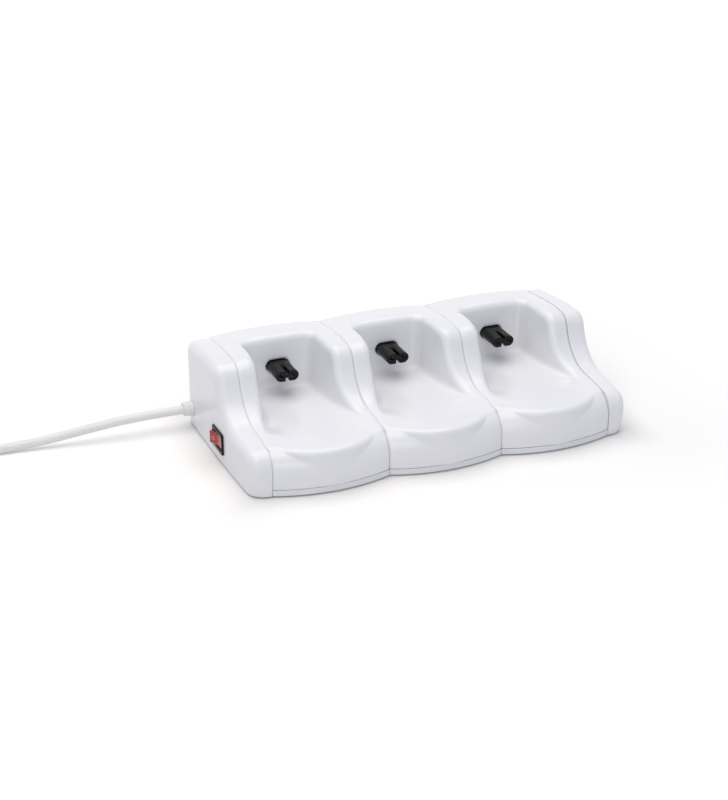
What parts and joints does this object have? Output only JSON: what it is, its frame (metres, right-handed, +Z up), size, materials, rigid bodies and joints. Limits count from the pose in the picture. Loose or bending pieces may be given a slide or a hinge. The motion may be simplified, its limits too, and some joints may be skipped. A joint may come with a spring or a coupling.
{
  "type": "wax heater power base",
  "caption": "Mains power base for roll-on wax heaters: bays side by side, each a sloped recess with a figure-eight connector on its back wall, and a lit rocker switch on the end cap.",
  "frame": {"origin": "on the standing surface, under the middle bay, halfway from the seams' front foot to the rear wall", "axes": "+X to the right along the row of bays, +Y to the rear wall, +Z up"},
  "size_m": [0.5146, 0.1417, 0.0667],
  "materials": {
    "white_abs": "glossy white moulded ABS",
    "black_plastic": "satin black moulded plastic",
    "red_translucent": "red translucent polycarbonate",
    "steel_zinc": "zinc-plated steel",
    "brass_nickel": "bare brass contact metal",
    "rubber_grey": "soft grey rubber",
    "pvc_white": "white flexible PVC",
    "pvc_brown": "brown PVC insulation",
    "pvc_blue": "blue PVC insulation",
    "lamp_glass": "clear lamp glass"
  },
  "bodies": {
    "base": {"bay_shell_left": "white_abs", "base_plate_left": "white_abs", "connector_body_left": "black_plastic", "connector_contacts_left": "brass_nickel", "connector_retainer_left": "black_plastic", "bay_shell_middle": "white_abs", "base_plate_middle": "white_abs", "connector_body_middle": "black_plastic", "connector_contacts_middle": "brass_nickel", "connector_retainer_middle": "black_plastic", "bay_shell_right": "white_abs", "base_plate_right": "white_abs", "connector_body_right": "black_plastic", "connector_contacts_right": "brass_nickel", "connector_retainer_right": "black_plastic", "left_end_cap": "white_abs", "right_end_cap": "white_abs", "rubber_feet": "rubber_grey", "base_screws": "steel_zinc", "joining_screws": "steel_zinc", "joining_nuts": "steel_zinc", "retainer_screws": "steel_zinc", "switch_housing": "black_plastic", "switch_terminals": "brass_nickel", "strain_relief_bush": "pvc_white", "lead_inside": "pvc_white", "live_feed_wire": "pvc_brown", "switched_live_wire": "pvc_brown", "neutral_wire": "pvc_blue", "lamp_return_wire": "pvc_blue", "power_cord": "pvc_white", "cord_coil": "pvc_white", "plug_body": "pvc_white", "plug_pins": "brass_nickel"},
    "rocker": {"switch_rocker": "red_translucent", "switch_plunger": "steel_zinc", "neon_lamp": "lamp_glass"},
    "contact_arm": {"contact_arm": "brass_nickel"}
  },
  "joints": [
    {"name": "rocker_tilt", "type": "hinge", "parent": "base", "child": "rocker", "pos_m": [-0.1361, -0.0033, 0.0158], "axis": [0, 0, 1], "range_deg": [-24, 0]},
    {"name": "contact_arm_tilt", "type": "hinge", "parent": "base", "child": "contact_arm", "pos_m": [-0.1268, -0.0033, 0.0158], "axis": [0, 0, 1], "range_deg": [0, 18]}
  ],
  "couplings": [
    {"joint": "contact_arm_tilt", "follows": "rocker_tilt", "ratio": -0.75}
  ]
}
